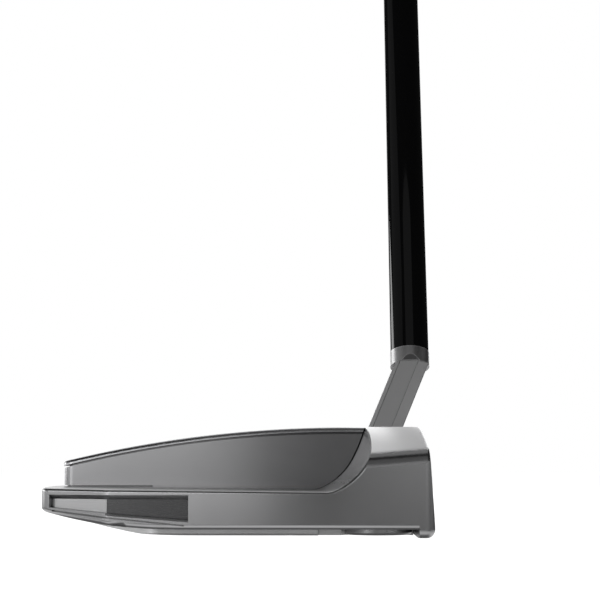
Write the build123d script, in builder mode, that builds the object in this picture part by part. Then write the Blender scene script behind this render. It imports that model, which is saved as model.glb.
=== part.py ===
from build123d import *
import os
from math import asin, cos, degrees, hypot, radians, sin, sqrt, tan

# A right-handed mallet putter in address position, in millimetres.
# +X is the target direction that the face looks along, -Y is the toe, +Y the heel, +Z up.
# The origin is on the flat of the sole, below the middle of the head.
#
# The head is a milled frame (face block, two low wings and a rear bar) around a hollow core with a
# crown plate. A slant neck carries the shaft, and a flat-fronted grip closes the other end.

os.makedirs("parts", exist_ok=True)

ON_FOOT = (Align.CENTER, Align.CENTER, Align.MIN)

# ---- Driving dimensions ---------------------------------------------------------------------

# Club
LEAN = 20.0                     # shaft from vertical, towards the heel (a lie of 70 degrees)
LOFT = 3.7
CLUB_LENGTH = 864.0             # along the shaft's axis, from the ground to the butt
SHAFT_X = 42.4
SHAFT_GROUND_Y = 7.0            # where the shaft's axis meets the ground

# Head envelope
FACE_X = 44.0                   # leading edge
HALF_WIDTH = 52.0
TOP = 24.6
WING_TOP = 10.1                 # beside the cove
WING_SLOPE = 0.6                # degrees the wings' top rises towards the rear
WING_BREAK_X = -25.5            # the wing's side turns inwards behind this
WING_END = (-40.4, 43.0)
REAR_X = -44.3
UNDERSIDE = 2.2                 # frame's underside, which is the sole plate's top
RISE_X = -10.0                  # the underside is level in front of here
RISE_RADIUS = 130.0
LIP_X = 40.6                    # in front of here a lip reaches down to the ground
LIP_LOW = 0.25
LIP_CAMBER = 900.0

# Cove between the face block and the wings: three arcs, each a radius and a turn in degrees
COVE_X = 17.6                   # where the cove starts, beside the core
COVE_ARCS = ((6.0, 26.0), (15.0, 36.0), (38.0, 15.0))
COVE_YAW = 0.103                # forward shift per millimetre towards the toe or the heel

# Rounded edges of the frame
FACE_EDGE = 0.6
WING_EDGE = 0.6                 # also the cove's rim
SOLE_EDGE = 1.0
LIP_EDGE = 1.8
PLAN_CORNERS = (2.0, 4.0, 3.0)  # radii in plan at the face, at the rear and at the wings' break

# Toe and heel shoulders of the face block
SHOULDER_Y = 12.0
SHOULDER_FRONT = (46.0, 5.0)    # x, and the drop there at the end of the head
SHOULDER_REAR = (10.0, 8.0)
SHOULDER_CORNER = 4.0
SHOULDER_BREAK = 0.02           # the corner's arc stops this far outside the head's side

# Core and crown
CORE_FRONT = (36.0, 22.2)
CORE_MID = (-5.0, 20.5)
CORE_REAR = (-40.0, 17.0)
CORE_FLOOR = 7.0
CORE_WALL = 2.0
CORE_GAP = 0.3                  # around the core, in the frame
FOOT_SLOT = (-19.0, 0.45, 0.6)  # slot in the core's foot behind this x, its height and depth
SEAM = 0.05                     # between the core's front and the cove
CROWN_TOP = 24.3
CROWN_THICK = 1.0
CROWN_REAR_EDGE = 0.8
CROWN_OVERHANG = 0.25
CROWN_RADIUS = 277.0
CROWN_LEVEL_X = 25.0            # the crown's arc is level here
SHADOW_GAP = 0.5                # groove under the crown's rim
SHADOW_DEPTH = 1.1
SIGHT_LINE = (-34.0, 24.0, 1.6, 0.5)    # from x, to x, width and depth

# Recesses in the sides of the wings, and the weights in them
RECESS_FRONT_X = -8.0
RECESS_RUN = 15.4               # how far it runs along the turned-in side
RECESS_LOW = (4.2, 6.7)         # its lower edge at the front and at the rear
RECESS_LOW_X = -39.5            # where the lower edge has risen to the second height
RECESS_HIGH = 8.55
RECESS_DEPTH = 8.0
RECESS_SHOWS = 0.95             # how far inside the wing's side the weight's face stands
RECESS_BEVEL_HIGH = 0.85
RECESS_BEVEL_LOW = 0.5
SIDE_GROOVE = ((-8.9, 3.0), (-38.0, 5.95), 0.35, 0.4)   # front and rear ends, width, depth

# Sole plate
PLATE_REAR_X = -35.0
PLATE_WIDE_X = 19.2
PLATE_FRONT_X = 40.5
PLATE_WIDE_Y = 46.0
PLATE_NARROW_Y = 27.0
PLATE_CORNER = 18.0             # how much of the rear corners is cut away
SOLE_FLAT_Y = 24.0              # flat to here, cambered outside it
CAMBER_REACH = 33.0             # past the flat, to beyond the head's side
SOLE_CAMBER = 210.0
SOLE_RISE_X = -1.0              # flat in front of here, rising behind it
SOLE_RISE_R = 155.0

# Screwed sole weights
WEIGHT_AT = (32.4, 29.0)
WEIGHT_R = 7.75
WEIGHT_LOW = 0.35
WEIGHT_HIGH = 3.5
SHANK_R = 4.9
SHANK_TOP = 8.6
WASHER_THICK = 0.5
BUSH_R = 6.4
BUSH_TOP = 9.2
WEIGHT_SOCKET = 2.3             # radius of the key's hexagon
RUNNING = 0.05                  # radial clearance of a running fit

# Screws: shank radius, head radius, head height
PLATE_SCREW = (1.5, 2.7, 0.7)
CORE_SCREW = (1.5, 2.7, 1.4)
NECK_SCREW = (1.6, 3.2, 2.0)
SOCKET = 1.0                    # radius of a screw's hexagon socket
SUNK = 0.2                      # how far a screw's head stands inside its surface
PLATE_SCREW_TOP = 6.4
NECK_SCREW_LENGTH = 17.0
BOSS = (3.3, 7.0, 6.0)          # radius and height of the core's bosses, depth of their holes
PLATE_SCREWS_AT = [(12.0, -40.0), (12.0, 40.0), (-20.0, -24.0), (-20.0, 24.0)]
CORE_SCREWS_AT = [(12.0, -14.0), (12.0, 14.0), (-18.0, -12.0), (-18.0, 12.0)]

# Damping pad on the core's floor
PAD_X = -3.0
PAD_SIZE = (22.0, 30.0, 4.0)
PAD_CORNER = 3.0

# Face insert
INSERT_HALF_Y = 40.0
INSERT_Z = (4.8, 20.2)
INSERT_DEPTH = 4.0
INSERT_CORNER = 5.0
TAPE = 0.3

# Neck
NECK_BASE = (35.6, 16.0)
NECK_SECTION = (8.6, 9.2)
NECK_REAR_BEVEL = (1.0, 1.3)    # bevels of the toe side's corners, along x and y
NECK_FACE_BEVEL = (2.9, 1.3)
NECK_HEEL_BEVEL = 1.6
COLLAR_LOW = 40.7               # height of the collar's underside on the shaft's axis
COLLAR_HEIGHT = 3.9
FACET = (4.8, 1.6)              # flat on the collar's toe side, chord and height
POST_AT = (35.0, 16.0)
POST_R = 2.6
POST_LOW = 12.5

# Shaft
TIP_R = 5.0
BUTT_R = 7.6
SHAFT_WALL = 0.6
TIP_LENGTH = 220.0              # parallel length above the collar
TAPER_END = 540.0               # above the collar, where the taper ends
SPIGOT_LENGTH = 24.0

# Grip
GRIP_LENGTH = 267.0
GRIP_SKIN = 1.6
GRIP_TAPE = 0.25
GRIP_LOW = (10.6, 9.6)          # radius, and the flat front's distance from the axis
GRIP_HIGH = (14.6, 12.6)
GRIP_CORNER = 3.0
CAP_THICK = 3.2

# ---- Shared geometry ------------------------------------------------------------------------

shaft_axis = Vector(0, sin(radians(LEAN)), cos(radians(LEAN)))
collar_at = Vector(SHAFT_X, SHAFT_GROUND_Y + COLLAR_LOW * tan(radians(LEAN)), COLLAR_LOW)
collar_along = COLLAR_LOW / cos(radians(LEAN))
facet_run = hypot(WING_END[0] - WING_BREAK_X, HALF_WIDTH - WING_END[1])
facet_dir = ((WING_END[0] - WING_BREAK_X) / facet_run, (HALF_WIDTH - WING_END[1]) / facet_run)


def axis_plane(along):
    """Plane across the shaft's axis, its x towards the face, so far above the collar's foot."""
    return Plane(collar_at + shaft_axis * along, x_dir=(1, 0, 0), z_dir=shaft_axis)


def column(x, y, low, radius, height, mode=Mode.ADD):
    """Upright cylinder that stands on a height."""
    with Locations((x, y, low)):
        Cylinder(radius, height, align=ON_FOOT, mode=mode)


def side_point(run, inset):
    """Plan point on the toe's turned-in side, or a parallel line inside it."""
    x = WING_BREAK_X + run * facet_dir[0] + inset * facet_dir[1]
    y = -HALF_WIDTH + run * facet_dir[1] - inset * facet_dir[0]
    return (x, y)


def side_corner(inset):
    """Plan point where the lines so far inside the toe's two sides meet."""
    return side_point(inset * (1 + facet_dir[0]) / facet_dir[1], inset)


def cove_arcs(start):
    """Cove's arcs from a point on the wing's top, then up and round behind."""
    direction = (1, 0)
    for radius, turn in COVE_ARCS:
        arc = JernArc(start, direction, radius, turn)
        start = arc @ 1
        direction = arc % 1
    Polyline(start, (start.X, 40), (-70, 40))


def cove_profile(gap):
    """Cove's line from the wing's top to above the block, moved back by a gap."""
    foot = (COVE_X - gap, WING_TOP)
    rear = (-70, wing_top_at(-70))
    Polyline((-70, 40), rear, foot)
    cove_arcs(foot)


def core_profile(gap):
    """Space behind the cove, down to the core's floor, moved back by a gap."""
    foot = (COVE_X - gap, WING_TOP)
    Polyline((-70, 40), (-70, CORE_FLOOR), (COVE_X - gap, CORE_FLOOR), foot)
    cove_arcs(foot)


def underside_profile(level, rise_x, radius, lip_x):
    """Everything below a line that is level in front, rises at the rear and may have a lip."""
    lip = Polyline((60, LIP_LOW), (lip_x, LIP_LOW), (lip_x, level))
    front = Line(lip @ 1, (rise_x, level))
    rise = JernArc(front @ 1, (-1, 0), radius, -19)
    Polyline(rise @ 1, ((rise @ 1).X, -20), (60, -20), (60, LIP_LOW))


def wing_top_at(x):
    """Height of the wings' top at x."""
    return WING_TOP + (COVE_X - x) * tan(radians(WING_SLOPE))


def inset_at(point):
    """How far a point stands inside the head's side, in plan."""
    outward = abs(point.Y) - HALF_WIDTH
    facet_inset = (point.X - WING_BREAK_X) * facet_dir[1] + outward * facet_dir[0]
    return min(-outward, facet_inset)


def rise_at(x, rise_x, radius):
    """How far a rising line has risen at x."""
    back = max(0.0, rise_x - x)
    return radius - sqrt(radius**2 - back**2)


def shoulder_profile(drop):
    """Everything outside the toe shoulder, seen from behind the block."""
    reach = 50.0 - SHOULDER_Y
    radius = (reach**2 + drop**2) / (2 * drop)
    corner_reach = HALF_WIDTH + SHOULDER_BREAK - SHOULDER_Y - SHOULDER_CORNER
    turn = degrees(asin(corner_reach / (radius - SHOULDER_CORNER)))
    slope = JernArc((SHOULDER_Y, TOP), (1, 0), radius, -turn)
    corner = JernArc(slope @ 1, slope % 1, SHOULDER_CORNER, turn - 90)
    end = corner @ 1
    Polyline(end, (end.X + 12, end.Y), (end.X + 12, TOP + 12), (SHOULDER_Y, TOP + 12), (SHOULDER_Y, TOP))


def edges_between(part, low, high):
    """Edges of a part whose boxes lie between two corners."""
    found = ShapeList()
    for edge in part.edges():
        box = edge.bounding_box()
        inside_low = box.min.X > low[0] and box.min.Y > low[1] and box.min.Z > low[2]
        inside_high = box.max.X < high[0] and box.max.Y < high[1] and box.max.Z < high[2]
        if inside_low and inside_high:
            found.append(edge)
    return found


with BuildSketch() as head_plan:
    with BuildLine() as head_line:
        Line((FACE_X, -HALF_WIDTH), (FACE_X, HALF_WIDTH))
        Polyline((FACE_X, HALF_WIDTH), (WING_BREAK_X, HALF_WIDTH), WING_END)
        ThreePointArc(WING_END, (REAR_X, 0), (WING_END[0], -WING_END[1]))
        Polyline((WING_END[0], -WING_END[1]), (WING_BREAK_X, -HALF_WIDTH), (FACE_X, -HALF_WIDTH))
    make_face()
    fillet(head_plan.vertices().group_by(Axis.X)[-1], radius=PLAN_CORNERS[0])
    fillet(head_plan.vertices().group_by(Axis.X)[0], radius=PLAN_CORNERS[1])
    for y in (-HALF_WIDTH, HALF_WIDTH):
        fillet(head_plan.vertices().sort_by_distance((WING_BREAK_X, y))[0], radius=PLAN_CORNERS[2])

with BuildSketch() as core_plan:
    with BuildLine():
        side = ThreePointArc(CORE_FRONT, CORE_MID, CORE_REAR)
        Line(side @ 1, (CORE_REAR[0], -CORE_REAR[1]))
        ThreePointArc(
            (CORE_REAR[0], -CORE_REAR[1]),
            (CORE_MID[0], -CORE_MID[1]),
            (CORE_FRONT[0], -CORE_FRONT[1]),
        )
        Line((CORE_FRONT[0], -CORE_FRONT[1]), CORE_FRONT)
    make_face()
    fillet(core_plan.vertices().group_by(Axis.X)[0], radius=2.5)

with BuildPart() as cove_toe:
    with BuildSketch(Plane.XZ.offset(CORE_FRONT[1] - 2.0)):
        with BuildLine():
            cove_profile(0)
        make_face()
    extrude(amount=40, dir=(COVE_YAW, -1, -COVE_YAW * tan(radians(WING_SLOPE))))

with BuildPart() as cove_middle:
    with BuildSketch(Plane.XZ):
        with BuildLine():
            cove_profile(0)
        make_face()
    extrude(amount=CORE_FRONT[1], both=True)

with BuildPart() as shoulder_toe:
    for x, drop in (SHOULDER_FRONT, SHOULDER_REAR):
        with BuildSketch(Plane((x, 0, 0), x_dir=(0, -1, 0), z_dir=(-1, 0, 0))):
            with BuildLine():
                shoulder_profile(drop)
            make_face()
    loft(ruled=True)

with BuildPart() as below_frame:
    with BuildSketch(Plane.XZ):
        with BuildLine():
            underside_profile(UNDERSIDE, RISE_X, RISE_RADIUS, LIP_X)
        make_face()
    extrude(amount=60, both=True)


def camber_profile(radius):
    """Everything below a cambered sole line, outside its flat on the heel side."""
    turn = degrees(asin(CAMBER_REACH / radius))
    camber = JernArc((SOLE_FLAT_Y, 0), (1, 0), radius, turn)
    Polyline(camber @ 1, ((camber @ 1).X, -5), (SOLE_FLAT_Y, -5), (SOLE_FLAT_Y, 0))


across_head = Plane((-60, 0, 0), x_dir=(0, 1, 0), z_dir=(1, 0, 0))

with BuildPart() as plate_camber:
    with BuildSketch(across_head):
        with BuildLine():
            camber_profile(SOLE_CAMBER)
        make_face()
        mirror(about=Plane.YZ)
    extrude(amount=120)

with BuildPart() as lip_camber:
    with BuildSketch(across_head):
        with BuildLine():
            camber_profile(LIP_CAMBER)
        make_face()
        mirror(about=Plane.YZ)
    extrude(amount=120)

with BuildPart() as core_space:
    with BuildSketch():
        add(core_plan.sketch)
        offset(amount=CORE_GAP, kind=Kind.INTERSECTION)
    extrude(amount=60)
    with BuildSketch(Plane.XZ):
        with BuildLine():
            core_profile(0)
        make_face()
    extrude(amount=60, both=True, mode=Mode.INTERSECT)

with BuildPart() as foot_slot:
    with BuildSketch(Plane.XY.offset(wing_top_at(-30) + 0.05)):
        add(core_plan.sketch)
        offset(amount=1, kind=Kind.INTERSECTION)
        add(offset(core_plan.sketch, amount=-FOOT_SLOT[2], mode=Mode.PRIVATE), mode=Mode.SUBTRACT)
        with Locations((FOOT_SLOT[0], 0)):
            Rectangle(100, 100, align=(Align.MIN, Align.CENTER), mode=Mode.SUBTRACT)
    extrude(amount=FOOT_SLOT[1])

with BuildPart() as side_grooves:
    with BuildSketch():
        add(head_plan.sketch)
        offset(amount=1, kind=Kind.INTERSECTION)
        add(offset(head_plan.sketch, amount=-SIDE_GROOVE[3], mode=Mode.PRIVATE), mode=Mode.SUBTRACT)
    extrude(amount=10)
    with BuildSketch(Plane.XZ):
        with BuildLine():
            Line(SIDE_GROOVE[0], SIDE_GROOVE[1])
        trace(line_width=SIDE_GROOVE[2])
    extrude(amount=60, both=True, mode=Mode.INTERSECT)

with BuildPart() as recess_toe:
    with BuildSketch():
        with BuildLine():
            Polyline(
                (RECESS_FRONT_X, -HALF_WIDTH - 5),
                side_corner(-5),
                side_point(RECESS_RUN, -5),
                side_point(RECESS_RUN, RECESS_DEPTH),
                side_corner(RECESS_DEPTH),
                (RECESS_FRONT_X, -HALF_WIDTH + RECESS_DEPTH),
                close=True,
            )
        make_face()
    extrude(amount=30)
    with BuildSketch(Plane.XZ):
        with BuildLine():
            Polyline(
                (RECESS_FRONT_X, RECESS_LOW[0]),
                (RECESS_FRONT_X, RECESS_HIGH),
                (-60, RECESS_HIGH),
                (-60, RECESS_LOW[1] + 1.5),
                (RECESS_LOW_X, RECESS_LOW[1]),
                close=True,
            )
        make_face()
    extrude(amount=80, mode=Mode.INTERSECT)

lip_slope = (RECESS_LOW[1] - RECESS_LOW[0]) / (RECESS_LOW_X - RECESS_FRONT_X)

with BuildPart() as lip_bevels:
    with BuildSketch(Plane((RECESS_FRONT_X, 0, RECESS_LOW[0]), x_dir=(0, 1, 0), z_dir=(1, 0, 0))):
        with BuildLine():
            Polyline(
                (-HALF_WIDTH, -RECESS_BEVEL_LOW),
                (-HALF_WIDTH, 0.2),
                (-HALF_WIDTH + RECESS_BEVEL_LOW, 0.2),
                (-HALF_WIDTH + RECESS_BEVEL_LOW, 0),
                close=True,
            )
        make_face()
    extrude(amount=WING_BREAK_X - RECESS_FRONT_X, dir=(1, 0, lip_slope))
    mirror(about=Plane.XZ)

with BuildPart() as weight_port:
    column(*WEIGHT_AT, 0, WEIGHT_R + 3 * RUNNING, WEIGHT_HIGH + WASHER_THICK)
    column(*WEIGHT_AT, 0, BUSH_R, BUSH_TOP)
    mirror(about=Plane.XZ)

# ---- Frame ----------------------------------------------------------------------------------

face_normal = (cos(radians(LOFT)), 0, sin(radians(LOFT)))
face_plane = Plane((FACE_X, 0, UNDERSIDE), x_dir=(0, 1, 0), z_dir=face_normal)
insert_middle = (sum(INSERT_Z) / 2 - UNDERSIDE) / cos(radians(LOFT))

with BuildPart() as frame_body:
    extrude(head_plan.sketch, amount=TOP)
    with BuildSketch(face_plane):
        Rectangle(120, 60)
    extrude(amount=20, mode=Mode.SUBTRACT)
    for cutter in (cove_toe, shoulder_toe):
        add(cutter.part, mode=Mode.SUBTRACT)
        add(mirror(cutter.part, Plane.XZ, mode=Mode.PRIVATE), mode=Mode.SUBTRACT)
    add(cove_middle.part, mode=Mode.SUBTRACT)
    add(below_frame.part, mode=Mode.SUBTRACT)
    add(lip_camber.part, mode=Mode.SUBTRACT)

    fillet(edges_between(frame_body, (41, -60, 17), (44, 60, 30)), radius=FACE_EDGE)
    wing_edges = edges_between(frame_body, (-60, -60, WING_TOP - 0.1), (22, 60, WING_TOP + 0.8))
    fillet(wing_edges.filter_by(lambda edge: edge.bounding_box().min.X < COVE_X - 1), radius=WING_EDGE)
    sole_edges = edges_between(frame_body, (-60, -60, UNDERSIDE - 0.1), (LIP_X + 0.1, 60, 7))
    round_edges = sole_edges.filter_by(lambda edge: abs(edge.center().X - RISE_X) > 1)
    fillet(round_edges.filter_by(lambda edge: abs(edge.center().X - LIP_X) > 0.5), radius=SOLE_EDGE)
    fillet(edges_between(frame_body, (LIP_X + 0.05, -60, 0), (60, 60, 1.4)), radius=LIP_EDGE)

    add(core_space.part, mode=Mode.SUBTRACT)
    add(side_grooves.part, mode=Mode.SUBTRACT)
    add(recess_toe.part, mode=Mode.SUBTRACT)
    add(mirror(recess_toe.part, Plane.XZ, mode=Mode.PRIVATE), mode=Mode.SUBTRACT)
    high_edges = edges_between(frame_body, (-44, -60, RECESS_HIGH - 0.1), (-7, 60, RECESS_HIGH + 0.1))
    high_edges = high_edges.filter_by(lambda edge: inset_at(edge.center()) < 0.5)
    chamfer(high_edges, length=RECESS_BEVEL_HIGH)
    add(lip_bevels.part, mode=Mode.SUBTRACT)
    add(weight_port.part, mode=Mode.SUBTRACT)
    with BuildSketch(face_plane):
        with Locations((0, insert_middle)):
            RectangleRounded(2 * INSERT_HALF_Y, INSERT_Z[1] - INSERT_Z[0], INSERT_CORNER)
    extrude(amount=-INSERT_DEPTH, mode=Mode.SUBTRACT)
    with Locations((POST_AT[0], POST_AT[1], TOP)):
        Hole(POST_R + RUNNING, depth=TOP - POST_LOW)
        Hole(NECK_SCREW[0] + RUNNING, depth=TOP)
    column(*POST_AT, 0, NECK_SCREW[1] + RUNNING, UNDERSIDE + SUNK + NECK_SCREW[2], Mode.SUBTRACT)
    for x, y in CORE_SCREWS_AT:
        head_top = UNDERSIDE + rise_at(x, RISE_X, RISE_RADIUS) + SUNK + CORE_SCREW[2]
        column(x, y, 0, CORE_SCREW[0] + RUNNING, CORE_FLOOR + 1, Mode.SUBTRACT)
        column(x, y, 0, CORE_SCREW[1] + RUNNING, head_top, Mode.SUBTRACT)
    for x, y in PLATE_SCREWS_AT:
        column(x, y, 0, PLATE_SCREW[0] + RUNNING, PLATE_SCREW_TOP + 0.2, Mode.SUBTRACT)


# ---- Core -----------------------------------------------------------------------------------

crown_centre = (CROWN_LEVEL_X, 0, CROWN_TOP - CROWN_RADIUS)


def crown_cylinder(below, mode):
    """Everything under the crown's arc, or under a parallel one so far below it."""
    with Locations(crown_centre):
        Cylinder(CROWN_RADIUS - below, 120, rotation=(90, 0, 0), mode=mode)


with BuildPart() as core_front_cut:
    with BuildSketch(Plane.XZ):
        with BuildLine():
            core_profile(SEAM)
        make_face()
    extrude(amount=60, both=True)

with BuildPart() as core_hollow:
    with BuildSketch(Plane.XY.offset(CORE_FLOOR + CORE_WALL)):
        add(core_plan.sketch)
        offset(amount=-CORE_WALL, kind=Kind.INTERSECTION)
    extrude(amount=40)
    with BuildSketch(Plane.XZ):
        with BuildLine():
            core_profile(SEAM + CORE_WALL)
        make_face()
    extrude(amount=60, both=True, mode=Mode.INTERSECT)

with BuildPart() as shadow_groove:
    with BuildSketch():
        add(core_plan.sketch)
        offset(amount=1, kind=Kind.INTERSECTION)
        add(offset(core_plan.sketch, amount=-SHADOW_DEPTH, mode=Mode.PRIVATE), mode=Mode.SUBTRACT)
    extrude(amount=40)
    crown_cylinder(CROWN_THICK + SHADOW_GAP, Mode.SUBTRACT)

with BuildPart() as core_shell:
    extrude(core_plan.sketch, amount=40)
    add(core_front_cut.part, mode=Mode.INTERSECT)
    crown_cylinder(CROWN_THICK, Mode.INTERSECT)
    add(core_hollow.part, mode=Mode.SUBTRACT)
    add(shadow_groove.part, mode=Mode.SUBTRACT)
    add(foot_slot.part, mode=Mode.SUBTRACT)
    for x, y in CORE_SCREWS_AT:
        column(x, y, CORE_FLOOR, BOSS[0], BOSS[1])
        column(x, y, CORE_FLOOR, CORE_SCREW[0], BOSS[2], Mode.SUBTRACT)

with BuildPart() as sight_line:
    with Locations(((SIGHT_LINE[0] + SIGHT_LINE[1]) / 2, 0, CROWN_TOP)):
        Box(SIGHT_LINE[1] - SIGHT_LINE[0], SIGHT_LINE[2], 20)
    fillet(sight_line.edges().filter_by(Axis.Z), radius=SIGHT_LINE[2] * 0.49)
    crown_cylinder(0, Mode.INTERSECT)
    crown_cylinder(SIGHT_LINE[3], Mode.SUBTRACT)

with BuildPart() as crown_plate:
    with BuildSketch():
        add(core_plan.sketch)
        offset(amount=CROWN_OVERHANG, kind=Kind.INTERSECTION)
    extrude(amount=40)
    add(core_front_cut.part, mode=Mode.INTERSECT)
    crown_cylinder(0, Mode.INTERSECT)
    crown_cylinder(CROWN_THICK, Mode.SUBTRACT)
    rear_edges = edges_between(crown_plate, (-60, -60, 0), (CORE_REAR[0] + 4, 60, 40))
    fillet(rear_edges.group_by(Axis.Z)[-1], radius=CROWN_REAR_EDGE)
    add(sight_line.part, mode=Mode.SUBTRACT)

with BuildPart() as damping_pad:
    with Locations((PAD_X, 0, CORE_FLOOR + CORE_WALL)):
        Box(*PAD_SIZE, align=ON_FOOT)
    fillet(damping_pad.edges().filter_by(Axis.Z), radius=PAD_CORNER)

# ---- Wing weights ---------------------------------------------------------------------------

with BuildPart() as recess_fill:
    with BuildSketch(Plane.XY):
        with BuildLine():
            Polyline(
                (RECESS_FRONT_X - RUNNING, -HALF_WIDTH + RECESS_SHOWS),
                side_corner(RECESS_SHOWS),
                side_point(RECESS_RUN - RUNNING, RECESS_SHOWS),
                side_point(RECESS_RUN - RUNNING, RECESS_DEPTH - RUNNING),
                side_corner(RECESS_DEPTH - RUNNING),
                (RECESS_FRONT_X - RUNNING, -HALF_WIDTH + RECESS_DEPTH - RUNNING),
                close=True,
            )
        make_face()
    extrude(amount=30)
    with BuildSketch(Plane.XZ):
        with BuildLine():
            Polyline(
                (RECESS_FRONT_X, RECESS_LOW[0] + RUNNING),
                (RECESS_FRONT_X, RECESS_HIGH - RUNNING),
                (-60, RECESS_HIGH - RUNNING),
                (-60, RECESS_LOW[1] + 1.5 + RUNNING),
                (RECESS_LOW_X, RECESS_LOW[1] + RUNNING),
                close=True,
            )
        make_face()
    extrude(amount=80, mode=Mode.INTERSECT)

# The weight fills the straight part, and an inlay the part along the turned-in side
corner_line = Vector(*side_corner(RECESS_DEPTH)) - Vector(*side_corner(0))
behind_corner = Plane(side_corner(0), x_dir=corner_line, z_dir=corner_line.cross(Vector(0, 0, 1)))

with BuildPart() as toe_wing_weight:
    add(recess_fill.part)
    split(bisect_by=behind_corner.offset(RUNNING), keep=Keep.TOP)

with BuildPart() as toe_wing_inlay:
    add(recess_fill.part)
    split(bisect_by=behind_corner.offset(-RUNNING), keep=Keep.BOTTOM)

with BuildPart() as heel_wing_weight:
    add(mirror(toe_wing_weight.part, Plane.XZ, mode=Mode.PRIVATE))

with BuildPart() as heel_wing_inlay:
    add(mirror(toe_wing_inlay.part, Plane.XZ, mode=Mode.PRIVATE))

# ---- Sole plate -----------------------------------------------------------------------------

with BuildPart() as below_plate:
    with BuildSketch(Plane.XZ):
        with BuildLine():
            underside_profile(0, SOLE_RISE_X, SOLE_RISE_R, 50)
        make_face()
    extrude(amount=60, both=True)


def plate_head_low(x, y):
    """Height of the lower face of a sole plate screw's head, just inside the sole."""
    camber = max(0.0, abs(y) - SOLE_FLAT_Y) ** 2 / (2 * SOLE_CAMBER)
    return rise_at(x, SOLE_RISE_X, SOLE_RISE_R) + camber + SUNK


with BuildPart() as plate_screw_seats:
    for x, y in PLATE_SCREWS_AT:
        column(x, y, 0, PLATE_SCREW[0] + RUNNING, 12)
        column(x, y, 0, PLATE_SCREW[1] + RUNNING, plate_head_low(x, y) + PLATE_SCREW[2])

with BuildPart() as sole_plate:
    with BuildSketch():
        with BuildLine():
            Polyline(
                (PLATE_REAR_X, 0),
                (PLATE_REAR_X, PLATE_WIDE_Y - PLATE_CORNER),
                (PLATE_REAR_X + PLATE_CORNER, PLATE_WIDE_Y),
                (PLATE_WIDE_X, PLATE_WIDE_Y),
                (PLATE_WIDE_X, PLATE_NARROW_Y),
                (PLATE_FRONT_X, PLATE_NARROW_Y),
                (PLATE_FRONT_X, 0),
            )
            mirror(about=Plane.XZ)
        make_face()
    extrude(amount=12)
    rear_corners = sole_plate.edges().filter_by(Axis.Z).group_by(Axis.X)[:2]
    fillet(rear_corners[0] + rear_corners[1], radius=5)
    add(below_frame.part, mode=Mode.INTERSECT)
    add(below_plate.part, mode=Mode.SUBTRACT)
    add(plate_camber.part, mode=Mode.SUBTRACT)
    with Locations((WEIGHT_AT[0], WEIGHT_AT[1], 0), (WEIGHT_AT[0], -WEIGHT_AT[1], 0)):
        Cylinder(WEIGHT_R + 0.5, 20, mode=Mode.SUBTRACT)
    add(plate_screw_seats.part, mode=Mode.SUBTRACT)


# ---- Screws ---------------------------------------------------------------------------------


def socket_screw(x, y, low, size, length):
    """Cap screw standing head down, with a hexagon socket in its head."""
    shank, head, height = size
    column(x, y, low, head, height)
    column(x, y, low, shank, length)
    with BuildSketch(Plane((x, y, low))) as socket:
        RegularPolygon(SOCKET, 6)
    extrude(socket.sketch, amount=height * 0.6, mode=Mode.SUBTRACT)


with BuildPart() as sole_plate_screws:
    for x, y in PLATE_SCREWS_AT:
        socket_screw(x, y, plate_head_low(x, y), PLATE_SCREW, PLATE_SCREW_TOP - plate_head_low(x, y))

with BuildPart() as core_screws:
    for x, y in CORE_SCREWS_AT:
        low = UNDERSIDE + rise_at(x, RISE_X, RISE_RADIUS) + SUNK
        socket_screw(x, y, low, CORE_SCREW, CORE_FLOOR + BOSS[2] - 0.5 - low)

with BuildPart() as neck_screw:
    socket_screw(*POST_AT, UNDERSIDE + SUNK, NECK_SCREW, NECK_SCREW_LENGTH)

# ---- Screwed sole weights -------------------------------------------------------------------

with BuildPart() as heel_sole_weight:
    column(*WEIGHT_AT, WEIGHT_LOW, WEIGHT_R, WEIGHT_HIGH - WEIGHT_LOW)
    chamfer(heel_sole_weight.edges().group_by(Axis.Z)[0], length=0.5)
    column(*WEIGHT_AT, WEIGHT_HIGH, SHANK_R, SHANK_TOP - WEIGHT_HIGH)
    chamfer(heel_sole_weight.edges().group_by(Axis.Z)[-1], length=0.6)
    with BuildSketch(Plane((WEIGHT_AT[0], WEIGHT_AT[1], WEIGHT_LOW))):
        RegularPolygon(WEIGHT_SOCKET, 6)
        with PolarLocations(WEIGHT_R * 0.68, 2, start_angle=90):
            Circle(0.9)
    extrude(amount=2, mode=Mode.SUBTRACT)

with BuildPart() as toe_sole_weight:
    add(mirror(heel_sole_weight.part, Plane.XZ, mode=Mode.PRIVATE))

with BuildPart() as heel_weight_washer:
    with BuildSketch(Plane((WEIGHT_AT[0], WEIGHT_AT[1], WEIGHT_HIGH + RUNNING))):
        Circle(WEIGHT_R - 0.2)
        Circle(SHANK_R + 2 * RUNNING, mode=Mode.SUBTRACT)
    extrude(amount=WASHER_THICK - 2 * RUNNING)

with BuildPart() as toe_weight_washer:
    add(mirror(heel_weight_washer.part, Plane.XZ, mode=Mode.PRIVATE))

with BuildPart() as heel_weight_bush:
    with BuildSketch(Plane((WEIGHT_AT[0], WEIGHT_AT[1], WEIGHT_HIGH + WASHER_THICK))):
        Circle(BUSH_R)
        Circle(SHANK_R + RUNNING, mode=Mode.SUBTRACT)
    extrude(amount=BUSH_TOP - WEIGHT_HIGH - WASHER_THICK)

with BuildPart() as toe_weight_bush:
    add(mirror(heel_weight_bush.part, Plane.XZ, mode=Mode.PRIVATE))

# ---- Face insert ----------------------------------------------------------------------------

with BuildPart() as face_insert:
    with BuildSketch(face_plane):
        with Locations((0, insert_middle)):
            insert_size = (2 * (INSERT_HALF_Y - RUNNING), INSERT_Z[1] - INSERT_Z[0] - 2 * RUNNING)
            RectangleRounded(*insert_size, INSERT_CORNER)
    extrude(amount=TAPE - INSERT_DEPTH)

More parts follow.
